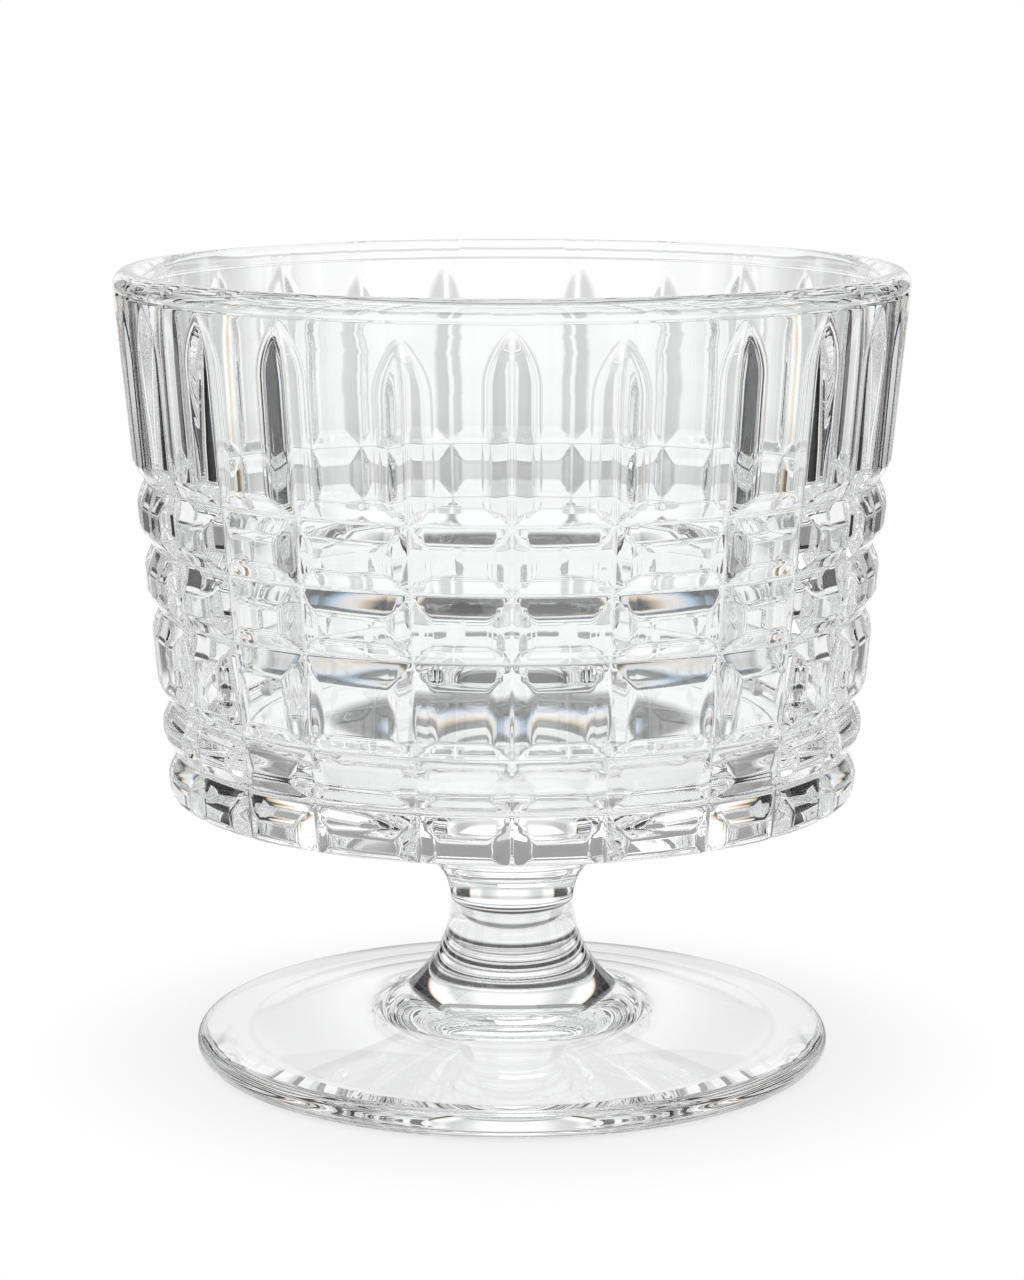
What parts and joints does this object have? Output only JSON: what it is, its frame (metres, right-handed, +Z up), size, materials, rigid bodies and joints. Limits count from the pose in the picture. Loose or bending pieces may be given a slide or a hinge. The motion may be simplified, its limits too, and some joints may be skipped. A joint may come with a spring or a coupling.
{
  "type": "footed trifle bowl",
  "caption": "Clear pressed-crystal footed trifle bowl with a mitre-cut lattice of windows, pointed flutes below a rounded lip, a waisted stem and a round foot, for serving layered desserts.",
  "frame": {"origin": "centre of the foot on the table, at the bottom centre of the whole object", "axes": "+Z up along the axis of the bowl, stem and foot; -Y is the front, where an upright cut with a tall flute faces the viewer"},
  "size_m": [0.203, 0.203, 0.206],
  "materials": {
    "bowl_glass": "clear pressed crystal, fire-polished cuts",
    "stem_glass": "clear crystal, fire-polished",
    "foot_glass": "clear crystal, fire-polished, rest ring ground flat"
  },
  "bodies": {
    "root": {"bowl": "bowl_glass", "stem": "stem_glass", "foot": "foot_glass"}
  },
  "joints": []
}
